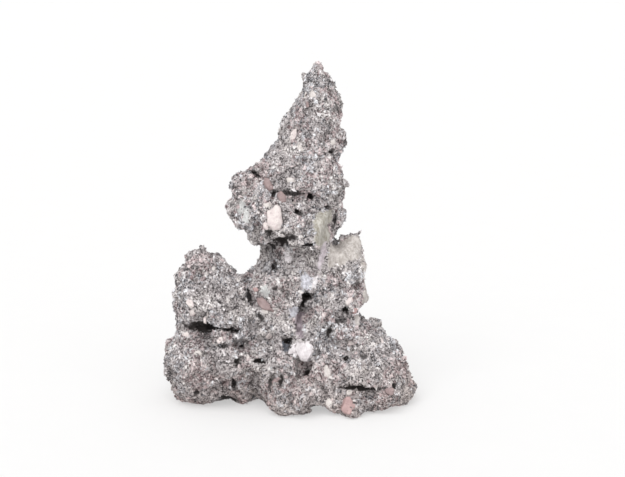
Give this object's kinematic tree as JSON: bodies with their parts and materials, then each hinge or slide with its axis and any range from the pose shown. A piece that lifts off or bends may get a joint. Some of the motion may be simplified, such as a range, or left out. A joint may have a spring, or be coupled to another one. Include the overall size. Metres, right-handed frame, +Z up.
{
  "type": "aquascaping rock",
  "caption": "Tall free-standing stone for a planted tank: a leaning spire over a pinched neck, with side lobes and a flat foot.",
  "frame": {"origin": "middle of the footprint's bounding box, on the flat foot that the stone stands on", "axes": "+Z up along the stone's height; +X to the right and -Y towards the viewer, seen from the side with the white quartz lump; the spire leans towards +X"},
  "size_m": [0.2212, 0.1362, 0.3],
  "materials": {
    "stone": "rough, dull natural stone: grey, pink and white grains"
  },
  "bodies": {
    "root": {"rock": "stone"}
  },
  "joints": []
}
